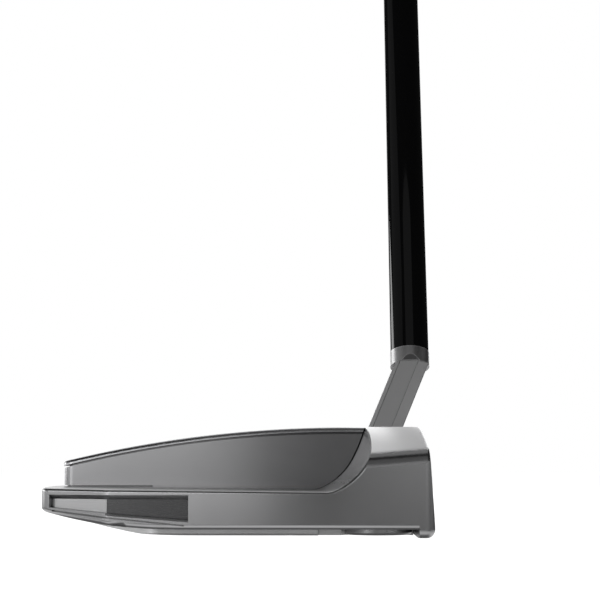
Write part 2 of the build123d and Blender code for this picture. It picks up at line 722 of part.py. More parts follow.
with BuildPart() as insert_tape:
    with BuildSketch(face_plane.offset(TAPE - INSERT_DEPTH)):
        with Locations((0, insert_middle)):
            RectangleRounded(2 * (INSERT_HALF_Y - 1), INSERT_Z[1] - INSERT_Z[0] - 2, INSERT_CORNER - 1)
    extrude(amount=-TAPE)

# ---- Neck -----------------------------------------------------------------------------------

across_toe = shaft_axis.cross(Vector(-1, 0, 0))
neck_foot = Vector(NECK_BASE[0], NECK_BASE[1], TOP)
neck_rear = NECK_BASE[0] - NECK_SECTION[0] / 2
neck_front = NECK_BASE[0] + NECK_SECTION[0] / 2
neck_toe = NECK_BASE[1] - NECK_SECTION[1] / 2
neck_heel = NECK_BASE[1] + NECK_SECTION[1] / 2
facet_depth = TIP_R - sqrt(TIP_R**2 - (FACET[0] / 2) ** 2)

with BuildPart() as neck:
    with BuildSketch(Plane.XY.offset(TOP)) as base:
        with BuildLine():
            Polyline(
                (neck_rear, neck_toe + NECK_REAR_BEVEL[1]),
                (neck_rear + NECK_REAR_BEVEL[0], neck_toe),
                (neck_front - NECK_FACE_BEVEL[0], neck_toe),
                (neck_front, neck_toe + NECK_FACE_BEVEL[1]),
                (neck_front, neck_heel),
                (neck_rear, neck_heel),
                close=True,
            )
        make_face()
        chamfer(base.vertices().group_by(Axis.Y)[-1], length=NECK_HEEL_BEVEL)
    extrude(amount=24, dir=(collar_at - neck_foot).normalized())
    split(bisect_by=axis_plane(0), keep=Keep.BOTTOM)
    with Locations(axis_plane(0)):
        Cylinder(TIP_R, COLLAR_HEIGHT, align=ON_FOOT)
        Cylinder(TIP_R - SHAFT_WALL - RUNNING, COLLAR_HEIGHT + SPIGOT_LENGTH, align=ON_FOOT)
    with BuildSketch(Plane(collar_at, x_dir=across_toe, z_dir=(-1, 0, 0))):
        with BuildLine():
            Polyline(
                (TIP_R - facet_depth, 0),
                (TIP_R, FACET[1]),
                (TIP_R + 2, FACET[1]),
                (TIP_R + 2, -0.001),
                (TIP_R - facet_depth, -0.001),
                close=True,
            )
        make_face()
    extrude(amount=TIP_R, both=True, mode=Mode.SUBTRACT)
    column(*POST_AT, POST_LOW, POST_R, TOP - POST_LOW + 1)
    column(*POST_AT, POST_LOW, NECK_SCREW[0], 8, Mode.SUBTRACT)

# ---- Shaft ----------------------------------------------------------------------------------

butt_along = CLUB_LENGTH - collar_along

with BuildPart() as shaft:
    with BuildSketch(Plane(collar_at, x_dir=(1, 0, 0), z_dir=(0, -shaft_axis.Z, shaft_axis.Y))):
        with BuildLine():
            Polyline(
                (TIP_R, COLLAR_HEIGHT),
                (TIP_R, TIP_LENGTH),
                (BUTT_R, TAPER_END),
                (BUTT_R, butt_along - CAP_THICK),
                (BUTT_R - SHAFT_WALL, butt_along - CAP_THICK),
                (BUTT_R - SHAFT_WALL, TAPER_END),
                (TIP_R - SHAFT_WALL, TIP_LENGTH),
                (TIP_R - SHAFT_WALL, COLLAR_HEIGHT),
                close=True,
            )
        make_face()
    revolve(axis=Axis(collar_at, shaft_axis))

# ---- Grip -----------------------------------------------------------------------------------

grip_foot = butt_along - GRIP_LENGTH


def grip_section(along, size, inset):
    """Round section with a flat front on the toe side, so far inside the grip's surface."""
    radius, flat = size
    with BuildSketch(axis_plane(along)) as section:
        Circle(radius - inset)
        with Locations((0, -flat + inset)):
            Rectangle(4 * radius, 4 * radius, align=(Align.CENTER, Align.MAX), mode=Mode.SUBTRACT)
        fillet(section.vertices(), radius=GRIP_CORNER - inset / 2)
    return section.sketch


with BuildPart() as grip_outside:
    low_end = grip_section(grip_foot, GRIP_LOW, 0)
    high_end = grip_section(butt_along - CAP_THICK, GRIP_HIGH, 0)
    loft([low_end.face(), high_end.face()])

with BuildPart() as grip_inside:
    low_end = grip_section(grip_foot + GRIP_SKIN, GRIP_LOW, GRIP_SKIN)
    high_end = grip_section(butt_along - CAP_THICK, GRIP_HIGH, GRIP_SKIN)
    loft([low_end.face(), high_end.face()])

with BuildPart() as grip_skin:
    add(grip_outside.part)
    add(grip_inside.part, mode=Mode.SUBTRACT)
    with Locations(axis_plane(grip_foot)):
        Cylinder(BUTT_R + GRIP_TAPE, 20, mode=Mode.SUBTRACT)

with BuildPart() as grip_core:
    add(grip_inside.part)
    with Locations(axis_plane(grip_foot)):
        Cylinder(BUTT_R + GRIP_TAPE, 2 * GRIP_LENGTH + 10, mode=Mode.SUBTRACT)

with BuildPart() as grip_tape:
    with BuildSketch(axis_plane(grip_foot + GRIP_SKIN)):
        Circle(BUTT_R + GRIP_TAPE)
        Circle(BUTT_R, mode=Mode.SUBTRACT)
    extrude(amount=GRIP_LENGTH - GRIP_SKIN - CAP_THICK)

with BuildPart() as grip_cap:
    extrude(grip_section(butt_along - CAP_THICK, GRIP_HIGH, 0), amount=CAP_THICK)
    fillet(grip_cap.faces().sort_by(Axis(collar_at, shaft_axis))[-1].edges(), radius=1.6)
    with Locations(axis_plane(butt_along - CAP_THICK)):
        Cylinder(BUTT_R - SHAFT_WALL - RUNNING, 12, align=(Align.CENTER, Align.CENTER, Align.MAX))

# ---- Output ---------------------------------------------------------------------------------

frame_body.part.label = "frame_body"
export_step(frame_body.part, "parts/frame_body.step")
core_shell.part.label = "core_shell"
export_step(core_shell.part, "parts/core_shell.step")
crown_plate.part.label = "crown_plate"
export_step(crown_plate.part, "parts/crown_plate.step")
sight_line.part.label = "sight_line"
export_step(sight_line.part, "parts/sight_line.step")
damping_pad.part.label = "damping_pad"
export_step(damping_pad.part, "parts/damping_pad.step")
toe_wing_weight.part.label = "toe_wing_weight"
export_step(toe_wing_weight.part, "parts/toe_wing_weight.step")
heel_wing_weight.part.label = "heel_wing_weight"
export_step(heel_wing_weight.part, "parts/heel_wing_weight.step")
toe_wing_inlay.part.label = "toe_wing_inlay"
export_step(toe_wing_inlay.part, "parts/toe_wing_inlay.step")
heel_wing_inlay.part.label = "heel_wing_inlay"
export_step(heel_wing_inlay.part, "parts/heel_wing_inlay.step")
sole_plate.part.label = "sole_plate"
export_step(sole_plate.part, "parts/sole_plate.step")
sole_plate_screws.part.label = "sole_plate_screws"
export_step(sole_plate_screws.part, "parts/sole_plate_screws.step")
core_screws.part.label = "core_screws"
export_step(core_screws.part, "parts/core_screws.step")
neck_screw.part.label = "neck_screw"
export_step(neck_screw.part, "parts/neck_screw.step")
heel_sole_weight.part.label = "heel_sole_weight"
export_step(heel_sole_weight.part, "parts/heel_sole_weight.step")
toe_sole_weight.part.label = "toe_sole_weight"
export_step(toe_sole_weight.part, "parts/toe_sole_weight.step")
heel_weight_washer.part.label = "heel_weight_washer"
export_step(heel_weight_washer.part, "parts/heel_weight_washer.step")
toe_weight_washer.part.label = "toe_weight_washer"
export_step(toe_weight_washer.part, "parts/toe_weight_washer.step")
heel_weight_bush.part.label = "heel_weight_bush"
export_step(heel_weight_bush.part, "parts/heel_weight_bush.step")
toe_weight_bush.part.label = "toe_weight_bush"
export_step(toe_weight_bush.part, "parts/toe_weight_bush.step")
face_insert.part.label = "face_insert"
export_step(face_insert.part, "parts/face_insert.step")
insert_tape.part.label = "insert_tape"
export_step(insert_tape.part, "parts/insert_tape.step")
neck.part.label = "neck"
export_step(neck.part, "parts/neck.step")
shaft.part.label = "shaft"
export_step(shaft.part, "parts/shaft.step")
grip_skin.part.label = "grip_skin"
export_step(grip_skin.part, "parts/grip_skin.step")
grip_core.part.label = "grip_core"
export_step(grip_core.part, "parts/grip_core.step")
grip_tape.part.label = "grip_tape"
export_step(grip_tape.part, "parts/grip_tape.step")
grip_cap.part.label = "grip_cap"
export_step(grip_cap.part, "parts/grip_cap.step")
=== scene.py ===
from math import cos, exp, pi, radians, sin, tan

import bmesh
import bpy
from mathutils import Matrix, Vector


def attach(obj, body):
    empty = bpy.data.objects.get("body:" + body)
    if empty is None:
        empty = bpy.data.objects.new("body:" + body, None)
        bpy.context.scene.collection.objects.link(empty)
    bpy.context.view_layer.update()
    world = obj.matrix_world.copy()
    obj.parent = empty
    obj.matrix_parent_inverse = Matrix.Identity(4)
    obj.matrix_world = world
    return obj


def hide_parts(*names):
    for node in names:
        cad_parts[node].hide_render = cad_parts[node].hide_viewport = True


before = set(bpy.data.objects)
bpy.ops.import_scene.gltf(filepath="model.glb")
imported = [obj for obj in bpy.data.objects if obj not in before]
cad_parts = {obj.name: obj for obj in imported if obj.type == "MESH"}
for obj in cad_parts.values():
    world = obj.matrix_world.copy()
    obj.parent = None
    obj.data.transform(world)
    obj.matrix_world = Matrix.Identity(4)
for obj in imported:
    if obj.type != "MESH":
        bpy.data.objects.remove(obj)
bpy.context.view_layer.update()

# A mallet putter at address: +X is the target direction, -Y the toe, +Y the heel and +Z up.
# Lengths are in millimetres where nothing else is said.

MM = 0.001
scene = bpy.context.scene
scene.view_settings.view_transform = "Standard"

LEAN = radians(20.0)            # of the shaft, towards the heel
SHAFT_UP = Vector((0.0, sin(LEAN), cos(LEAN)))
SHAFT_ACROSS = Vector((0.0, cos(LEAN), -sin(LEAN)))

# ---- Camera ---------------------------------------------------------------------------------

CAMERA_AT = Vector((21.6, -400.0, 15.7)) * MM
CAMERA_YAW = radians(1.0)       # towards the rear of the head
CAMERA_PITCH = radians(5.73)    # upwards
CAMERA_LENS = 98.7
CAMERA_SENSOR = 36.0
CAMERA_NEAR = 10.0              # anything nearer is cut away

camera_data = bpy.data.cameras.new("camera")
camera_data.lens = CAMERA_LENS
camera_data.sensor_width = CAMERA_SENSOR
camera_data.clip_start = CAMERA_NEAR * MM
camera = bpy.data.objects.new("camera", camera_data)
scene.collection.objects.link(camera)
camera_looks = Vector((
    -sin(CAMERA_YAW) * cos(CAMERA_PITCH),
    cos(CAMERA_YAW) * cos(CAMERA_PITCH),
    sin(CAMERA_PITCH),
))
camera.location = CAMERA_AT
camera.rotation_euler = camera_looks.to_track_quat("-Z", "Y").to_euler()
scene.camera = camera

# ---- Node trees -----------------------------------------------------------------------------


class Tree:
    """A node tree, with short ways to add nodes and to join them."""

    def __init__(self, tree):
        self.tree = tree

    def add(self, kind, **values):
        node = self.tree.nodes.new("ShaderNode" + kind)
        for name, value in values.items():
            setattr(node, name, value)
        return node

    def put(self, value, socket):
        """Join an output to a socket, or set the socket's own value."""
        if isinstance(value, bpy.types.NodeSocket):
            self.tree.links.new(value, socket)
        else:
            socket.default_value = value

    def math(self, operation, first, second=0.0):
        node = self.add("Math", operation=operation)
        self.put(first, node.inputs[0])
        self.put(second, node.inputs[1])
        return node.outputs[0]

    def vector(self, operation, first, second):
        node = self.add("VectorMath", operation=operation)
        self.put(first, node.inputs[0])
        self.put(second, node.inputs[1])
        return node.outputs["Value" if operation == "DOT_PRODUCT" else "Vector"]

    def length(self, value):
        node = self.add("VectorMath", operation="LENGTH")
        self.put(value, node.inputs[0])
        return node.outputs["Value"]

    def split(self, value):
        """The X, Y and Z of a vector."""
        node = self.add("SeparateXYZ")
        self.put(value, node.inputs[0])
        return node.outputs

    def spread(self, value, low, high, to_low, to_high, smooth=False):
        """Map a value from one range to another, and clamp it."""
        node = self.add("MapRange", interpolation_type="SMOOTHSTEP" if smooth else "LINEAR")
        self.put(value, node.inputs["Value"])
        node.inputs["From Min"].default_value = low
        node.inputs["From Max"].default_value = high
        node.inputs["To Min"].default_value = to_low
        node.inputs["To Max"].default_value = to_high
        return node.outputs["Result"]

    def mix(self, factor, first, second):
        node = self.add("Mix", data_type="RGBA")
        self.put(factor, node.inputs[0])
        self.put(first, node.inputs[6])
        self.put(second, node.inputs[7])
        return node.outputs[2]


class Material(Tree):
    """A Principled material that works in millimetres on its object."""

    def __init__(self, name):
        self.material = bpy.data.materials.new(name)
        self.material.use_nodes = True
        super().__init__(self.material.node_tree)
        self.shader = self.tree.nodes["Principled BSDF"]
        place = self.add("TexCoord")
        self.mm = self.vector("MULTIPLY", place.outputs["Object"], (1 / MM, 1 / MM, 1 / MM))
        self.height = None

    def set(self, **values):
        for name, value in values.items():
            self.put(value, self.shader.inputs[name.replace("_", " ")])

    def noise(self, per_mm, detail, roughness=0.5, offset=(0, 0, 0)):
        """Noise from 0 to 1 with its own fineness along each axis."""
        where = self.vector("MULTIPLY", self.mm, per_mm)
        node = self.add("TexNoise")
        self.put(self.vector("ADD", where, offset), node.inputs["Vector"])
        node.inputs["Scale"].default_value = 1.0
        node.inputs["Detail"].default_value = detail
        node.inputs["Roughness"].default_value = roughness
        return node.outputs["Fac"]

    def facing(self, axis):
        """How squarely the surface faces along an axis, 0 to 1."""
        normal = self.add("NewGeometry").outputs["True Normal"]
        return self.math("ABSOLUTE", self.vector("DOT_PRODUCT", normal, axis))

    def grain(self, per_mm_walls, per_mm_tops):
        """Brushing that runs one way on walls and another way on level surfaces."""
        walls = self.noise(per_mm_walls, 3.0)
        tops = self.noise(per_mm_tops, 3.0, offset=(7, 3, 5))
        level = self.spread(self.facing((0, 0, 1)), 0.6, 0.85, 0.0, 1.0)
        return self.mix(level, walls, tops)

    def edges(self, radius, sharp=(0.985, 0.86)):
        """Mask of the edges, broken up by noise, rising between the two cosines in sharp."""
        bevel = self.add("Bevel", samples=6)
        bevel.inputs["Radius"].default_value = radius * MM
        normal = self.add("NewGeometry").outputs["Normal"]
        meet = self.vector("DOT_PRODUCT", bevel.outputs["Normal"], normal)
        rim = self.spread(meet, *sharp, 0.0, 1.0)
        patchy = self.spread(self.noise((0.35, 0.35, 0.35), 3.0), 0.3, 0.62, 0.75, 1.0)
        return self.math("MULTIPLY", rim, patchy)

    def crevices(self, reach):
        """Mask that is 0 in the narrow corners, where shade is painted into the colour, and 1 on open
        surfaces.
        """
        shade = self.add("AmbientOcclusion", samples=6)
        shade.inputs["Distance"].default_value = reach * MM
        return self.spread(shade.outputs["AO"], 0.28, 0.64, 0.0, 1.0)

    def relief(self, height, depth, strength):
        """Bump of so many millimetres, on top of the relief already there."""
        bump = self.add("Bump")
        bump.inputs["Strength"].default_value = strength
        bump.inputs["Distance"].default_value = depth * MM
        self.put(height, bump.inputs["Height"])
        if self.height is not None:
            self.put(self.height, bump.inputs["Normal"])
        self.height = bump.outputs["Normal"]
        self.put(self.height, self.shader.inputs["Normal"])


def dress(material, *names):
    """Give CAD nodes a material."""
    for name in names:
        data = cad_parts[name].data
        data.materials.clear()
        data.materials.append(material.material)


# ---- Light and floor ------------------------------------------------------------------------

# Soft rectangles: middle, aim, width and height in metres, and radiance. The shoulder card stands over
# the middle of the face block and hides the shaft from the toe shoulder, which would mirror it.
SOFT_LIGHTS = {
    "far_left_card": ((-0.36, -0.43, 0.10), (-0.36, 0, 0.10), (0.30, 0.20), 2.1),
    "left_card": ((-0.135, -0.43, 0.10), (-0.135, 0, 0.10), (0.13, 0.20), 1.15),
    "middle_card": ((-0.035, -0.43, 0.10), (-0.035, 0, 0.10), (0.07, 0.20), 0.12),
    "right_card": ((0.12, -0.43, 0.10), (0.12, 0, 0.10), (0.16, 0.20), 0.6),
    "front_high": ((0.04, -0.62, 0.50), (0.04, 0, 0.05), (0.6, 0.50), 0.13),
    "far_right_card": ((0.35, -0.43, 0.10), (0.35, 0, 0.10), (0.30, 0.20), 0.45),
    "left_front": ((-0.60, -0.36, 0.12), (0, -0.02, 0.04), (0.45, 0.24), 1.3),
    "left_rear": ((-0.62, 0.40, 0.14), (0, -0.02, 0.04), (0.45, 0.28), 2.4),
    "left_high": ((-0.70, -0.05, 0.55), (0.03, 0.02, 0.08), (0.9, 0.45), 0.1),
    "right_low": ((0.75, -0.20, 0.14), (0.04, 0, 0.04), (0.6, 0.28), 0.4),
    "overhead": ((0, 0.05, 0.95), (0, 0, 0.01), (0.9, 0.6), 0.3),
    "behind_high": ((0.05, 0.65, 0.80), (0.03, 0, 0.02), (1.0, 0.5), 1.3),
    "shoulder_card": ((0.042, 0.0, 0.042), (0.042, -0.05, 0.042), (0.034, 0.030), 0.7),
    "left_low": ((-0.75, 0.05, 0.08), (0, -0.02, 0.02), (0.5, 0.10), 2.6),
    "behind_low": ((0.05, 1.00, 0.25), (0.03, 0, 0.02), (1.0, 0.5), 1.6),
}


def area_light(name, at, aim, size, radiance):
    """Soft rectangle of light that the camera doesn't see."""
    data = bpy.data.lights.new(name, "AREA")
    data.shape = "RECTANGLE"
    data.size, data.size_y = size
    data.energy = radiance * pi * size[0] * size[1]
    light = bpy.data.objects.new(name, data)
    light.location = at
    light.rotation_euler = (Vector(aim) - Vector(at)).to_track_quat("-Z", "Y").to_euler()
    light.visible_camera = False
    scene.collection.objects.link(light)


ROOM_FILL = 0.02                # radiance of the faint fill


def studio_world():
    """White room for the camera, and a faint even fill for everything else."""
    world = bpy.data.worlds.new("studio")
    world.use_nodes = True
    world.node_tree.nodes.clear()
    tree = Tree(world.node_tree)
    out = tree.add("OutputWorld")
    seen = tree.add("Background")
    seen.inputs["Color"].default_value = (1, 1, 1, 1)
    seen.inputs["Strength"].default_value = 1.0
    lit = tree.add("Background")
    lit.inputs["Color"].default_value = (1, 1, 1, 1)
    lit.inputs["Strength"].default_value = ROOM_FILL
    mix = tree.add("MixShader")
    tree.put(tree.add("LightPath").outputs["Is Camera Ray"], mix.inputs[0])
    tree.put(lit.outputs[0], mix.inputs[1])
    tree.put(seen.outputs[0], mix.inputs[2])
    tree.put(mix.outputs[0], out.inputs[0])
    scene.world = world


FLOOR_HALF = 4.0                # metres
FLOOR_Z = -5.6                  # below the sole weights when they are all the way out
FLOOR_LIGHT = 0.9               # glow that the floor round the head sends up to it, a painted pool of light in place of bounce
FLOOR_SHADE_LIGHT = 0.13        # share of that which is left right below the head, as a painted shadow
FLOOR_SHADE = (52.0, 57.0)      # distances from the middle between which it comes up outside the head
FLOOR_POOL = (58.0, 110.0)      # and between which it fades again,
FLOOR_FAR_LIGHT = 0.03          # down to this
HEAD_NARROWER = 8.0             # about how much nearer the head's front and rear are than its sides
FLOOR_GLOW = 1.0                # what the camera sees it send, so that it is as light as the room


def floor():
    """Pale floor that is seen from above only, and that lights the head with a painted glow from a ring
    round its painted shadow.
    """
    mesh = bpy.data.meshes.new("floor")
    h = FLOOR_HALF
    mesh.from_pydata([(-h, -h, 0), (h, -h, 0), (h, h, 0), (-h, h, 0)], [], [(0, 1, 2, 3)])
    obj = bpy.data.objects.new("floor", mesh)
    scene.collection.objects.link(obj)
    obj.location.z = FLOOR_Z * MM
    pale = Material("pale_floor")
    pale.set(Base_Color=(0.30, 0.30, 0.30, 1), Roughness=0.8)
    seen = pale.add("LightPath").outputs["Is Camera Ray"]
    # Painted light: for everything but the camera the floor glows in a pool round the head, with a
    # painted shadow below it.
    painted_pool_and_shadow = pale.spread(pale.length(pale.mm), *FLOOR_POOL, FLOOR_LIGHT, FLOOR_FAR_LIGHT, smooth=True)
    place = pale.split(pale.mm)
    beside = pale.math("ABSOLUTE", place["Y"])
    beyond = pale.math("ADD", pale.math("ABSOLUTE", place["X"]), HEAD_NARROWER)
    outside = pale.math("MAXIMUM", beside, beyond)
    painted_pool_and_shadow = pale.math("MULTIPLY", painted_pool_and_shadow, pale.spread(outside, *FLOOR_SHADE, FLOOR_SHADE_LIGHT, 1.0))
    glow = pale.math("MULTIPLY", seen, FLOOR_GLOW)
    glow = pale.math("ADD", glow, pale.math("MULTIPLY", pale.math("SUBTRACT", 1.0, seen), painted_pool_and_shadow))
    pale.set(Emission_Color=(1, 1, 1, 1), Emission_Strength=glow)
    below = pale.add("MixShader")
    pale.put(pale.add("NewGeometry").outputs["Backfacing"], below.inputs[0])
    pale.put(pale.shader.outputs[0], below.inputs[1])
    pale.put(pale.add("BsdfTransparent").outputs[0], below.inputs[2])
    pale.put(below.outputs[0], pale.tree.nodes["Material Output"].inputs["Surface"])
    mesh.materials.append(pale.material)


studio_world()
for light_name, light in SOFT_LIGHTS.items():
    area_light(light_name, *light)
floor()

# ---- Materials ------------------------------------------------------------------------------

EDGE_GAIN = 0.2                 # how much lighter the edges are, from wear and painted highlight
EDGE_SHARE = 0.25               # and how much of that shows
STREAK_GAIN = 1.6               # how many times lighter the brushing's streaks are
STREAK_SHARE = 0.03             # and how much of that shows
CREVICE_TONE = 0.12             # what is left of the colour in a crevice, as painted shade
CREVICE_REACH = 0.8             # how near its walls are
GRAIN_PULL = 0.3                # how far the brushing stretches the shine
GRAIN_ALONG = (0, 0.3, 1)       # and which way
SIDE_CROWN = radians(10.0)      # the most that the side's shading is turned
SIDE_CROWN_X = (-8.0, 26.0)     # fully turned behind the first, flat in front of the second


def metal(name, colour, roughness, walls, tops, depth=0.0015, edge=0.2, cloud=0.03, top_rough=0.0):
    """Satin metal with brushing, faint clouds of tone, painted shade in the crevices, and edges that
    wear has smoothed and that wear and painted highlight make lighter.

    edge is the width of the lighter edges, cloud how far the tone varies, and top_rough how much
    rougher the level surfaces are.
    """
    made = Material(name)
    grain = made.grain(walls, tops)
    clouds = made.noise((0.06, 0.06, 0.06), 4.0, 0.6, offset=(3, 1, 8))
    rim = made.edges(edge)
    dark = tuple(c * (1 - cloud) for c in colour)
    light = tuple(min(1.0, c * (1 + cloud)) for c in colour)
    base = made.mix(clouds, (*dark, 1), (*light, 1))
    streak = made.spread(grain, 0.3, 0.7, 0.0, 1.0)
    bright = tuple(min(1.0, c * STREAK_GAIN) for c in colour)
    base = made.mix(made.math("MULTIPLY", streak, STREAK_SHARE), base, (*bright, 1))
    # Lighter edges: partly wear, partly painted highlight.
    wear_and_highlight = tuple(min(1.0, c + EDGE_GAIN) for c in colour)
    base = made.mix(made.math("MULTIPLY", rim, EDGE_SHARE), base, (*wear_and_highlight, 1))
    # Painted shade: the colour is darkened in narrow corners and crevices.
    crevice_shade = tuple(c * CREVICE_TONE for c in colour)
    base = made.mix(made.crevices(CREVICE_REACH), (*crevice_shade, 1), base)
    rough = made.spread(grain, 0.25, 0.75, roughness - 0.02, roughness + 0.02)
    rough = made.math("ADD", rough, made.spread(clouds, 0.3, 0.7, -0.012, 0.012))
    rough = made.math("SUBTRACT", rough, made.math("MULTIPLY", rim, 0.06))
    if top_rough:
        level = made.spread(made.facing((0, 0, 1)), 0.75, 0.95, 0.0, top_rough)
        rough = made.math("ADD", rough, level)
    made.set(Metallic=1.0, Base_Color=base, Roughness=rough)
    made.set(Anisotropic=GRAIN_PULL, Tangent=GRAIN_ALONG)
    made.relief(grain, depth, 0.5)
    return made


def crowned_side(made):
    """Shades the flat side as if it were round, turned towards the rear by up to SIDE_CROWN."""
    x = made.split(made.mm)["X"]
    rear, front = SIDE_CROWN_X
    run = front - rear
    turning = made.spread(made.math("SUBTRACT", front, x), 0.0, run, 0.0, run)
    turned = made.math("MAXIMUM", made.math("SUBTRACT", rear, x), 0.0)
    bend = made.math("DIVIDE", made.math("MULTIPLY", turning, turning), 2 * run)
    drop = made.math("MULTIPLY", made.math("ADD", bend, turned), -tan(SIDE_CROWN))
    side = made.spread(made.facing((0, 1, 0)), 0.90, 0.98, 0.0, 1.0)
    made.relief(made.math("MULTIPLY", drop, side), 1.0, 1.0)


UPRIGHT = (9.0, 9.0, 0.35)      # streaks per millimetre for brushing that runs up and down
FORE_AFT = (0.25, 9.0, 9.0)     # along X
ACROSS = (9.0, 0.25, 9.0)       # from heel to toe
RECESS = (0.4, 9.0, 9.0)        # along X too, for the two faces in the wing's recess
PLAIN = (5.0, 5.0, 5.0)         # no direction

head_metal = metal("head_metal", (0.39, 0.39, 0.395), 0.24, UPRIGHT, ACROSS, top_rough=0.11)
crowned_side(head_metal)
core_metal = metal("core_metal", (0.31, 0.31, 0.315), 0.22, UPRIGHT, FORE_AFT, depth=0.003)
crown_metal = metal("crown_metal", (0.42, 0.42, 0.43), 0.24, UPRIGHT, FORE_AFT)
sole_metal = metal("sole_metal", (0.62, 0.62, 0.625), 0.30, UPRIGHT, FORE_AFT, cloud=0.10)
weight_metal = metal("tungsten", (0.18, 0.18, 0.183), 0.26, RECESS, PLAIN)
inlay_metal = metal("inlay_metal", (0.54, 0.54, 0.545), 0.24, RECESS, PLAIN)
bush_metal = metal("bush_steel", (0.5, 0.5, 0.51), 0.28, (0.5, 0.5, 9.0), (6.0, 6.0, 6.0))
screw_metal = metal("screw_steel", (0.10, 0.10, 0.105), 0.36, UPRIGHT, PLAIN, edge=0.15)

MILLING_CENTRE = (44.0, 0.0, -60.0)     # of the arcs on the insert
MILLING_PITCH = 0.9
TURNING_PITCH = 0.35                    # of the rings on the sole weights


def insert_material():
    """Dark anodised face with milled arcs."""
    made = metal("insert_metal", (0.22, 0.22, 0.225), 0.32, UPRIGHT, ACROSS)
    centre = made.vector("SUBTRACT", made.mm, MILLING_CENTRE)
    flat = made.vector("MULTIPLY", centre, (0.0, 1.0, 1.0))
    phase = made.math("MULTIPLY", made.length(flat), 2 * pi / MILLING_PITCH)
    made.relief(made.math("SINE", phase), 0.05, 0.8)
    return made


COLLAR_FACET = (0.0, -0.9999, -0.0172)      # normal of the small facet milled on the collar's toe side, which is painted dark as shade
COLLAR_FROM = (45.6, 45.9)                  # between these the neck's finish gives way to the collar's
COLLAR_RINGS = 9.0                          # per millimetre


def neck_material():
    """Satin steel, turned round the collar and brushed along the neck."""
    made = Material("neck_steel")
    up = made.vector("DOT_PRODUCT", made.mm, tuple(SHAFT_UP))
    ring = made.add("TexNoise", noise_dimensions="1D")
    ring.inputs["Scale"].default_value = 1.0
    ring.inputs["Detail"].default_value = 3.0
    made.put(made.math("MULTIPLY", up, COLLAR_RINGS), ring.inputs["W"])
    along = made.noise((7.0, 7.0, 0.5), 3.0)
    collar = made.spread(up, *COLLAR_FROM, 0.0, 1.0)
    grain = made.mix(collar, along, ring.outputs["Fac"])
    rim = made.edges(0.45, sharp=(0.998, 0.955))
    shank = made.mix(grain, (0.79, 0.79, 0.795, 1), (0.85, 0.85, 0.855, 1))
    turned = made.mix(grain, (0.54, 0.54, 0.545, 1), (0.62, 0.62, 0.625, 1))
    base = made.mix(collar, shank, turned)
    # Painted shade: the collar's facet is darkened in colour.
    milled = made.spread(made.facing(COLLAR_FACET), 0.990, 0.997, 0.0, 1.0)
    milled = made.math("MULTIPLY", milled, collar)
    base = made.mix(milled, base, (0.11, 0.11, 0.112, 1))
    # Painted edge lines: painted shade darkens the neck's edges, and a painted highlight lightens the
    # collar's.
    edge = made.mix(collar, (0.07, 0.07, 0.07, 1), (0.85, 0.85, 0.85, 1))
    base = made.mix(made.math("MULTIPLY", rim, 0.95), base, edge)
    rough = made.spread(grain, 0.25, 0.75, 0.0, 0.06)
    rough = made.math("ADD", rough, made.spread(collar, 0, 1, 0.36, 0.34))
    solid = made.spread(collar, 0, 1, 0.82, 1.0)
    made.set(Metallic=solid, Base_Color=base, Roughness=rough)
    made.relief(grain, 0.004, 0.5)
    return made


def turned_material(name, colour, roughness, middle):
    """Face turned on a lathe round a middle, with the cutter's fine rings."""
    made = metal(name, colour, roughness, UPRIGHT, (4.0, 4.0, 4.0))
    out = made.vector("MULTIPLY", made.vector("SUBTRACT", made.mm, middle), (1, 1, 0))
    phase = made.math("MULTIPLY", made.length(out), 2 * pi / TURNING_PITCH)
    made.relief(made.math("SINE", phase), 0.01, 0.6)
    return made


def enamel_material():
    """Matt white paint that has filled a milled slot."""
    made = Material("sight_enamel")
    skin = made.noise((2.0, 2.0, 2.0), 4.0)
    base = made.mix(made.spread(skin, 0.35, 0.7, 0, 1), (0.80, 0.80, 0.78, 1), (0.88, 0.88, 0.86, 1))
    made.set(Base_Color=base, Roughness=made.spread(skin, 0.3, 0.7, 0.45, 0.6))
    made.relief(skin, 0.03, 0.5)
    return made


def lacquer_material():
    """Gloss black over steel, with the faint ripple of a sprayed coat."""
    made = Material("shaft_black")
    ripple = made.noise((0.5, 0.5, 0.12), 2.0)
    haze = made.noise((0.9, 0.9, 0.2), 5.0, 0.65, offset=(4, 4, 4))
    made.set(
        Base_Color=made.mix(haze, (0.0025, 0.0025, 0.0027, 1), (0.0045, 0.0045, 0.005, 1)),
        Roughness=made.spread(haze, 0.35, 0.75, 0.04, 0.10),
        Specular_IOR_Level=0.35,
        Coat_Weight=0.3,
        Coat_Roughness=0.03,
    )
    made.relief(ripple, 0.01, 0.35)
    return made


def rubber_material(name, colour, roughness, per_mm, depth):
    """Moulded rubber or foam with a fine pebbled skin."""
    made = Material(name)
    pebble = made.noise((per_mm, per_mm, per_mm), 4.0, 0.6)
    clouds = made.noise((0.05, 0.05, 0.05), 3.0)
    dark = (*[c * 0.75 for c in colour], 1)
    light = (*[min(1, c * 1.35) for c in colour], 1)
    base = made.mix(made.math("MULTIPLY", made.math("ADD", pebble, clouds), 0.5), dark, light)
    rough = made.spread(pebble, 0.3, 0.7, roughness - 0.08, roughness + 0.08)
    made.set(Base_Color=base, Roughness=rough)
    made.relief(pebble, depth, 0.8)
    return made


grip_rubber = rubber_material("grip_rubber", (0.022, 0.022, 0.024), 0.55, 3.2, 0.02)

# ---- Grip -----------------------------------------------------------------------------------

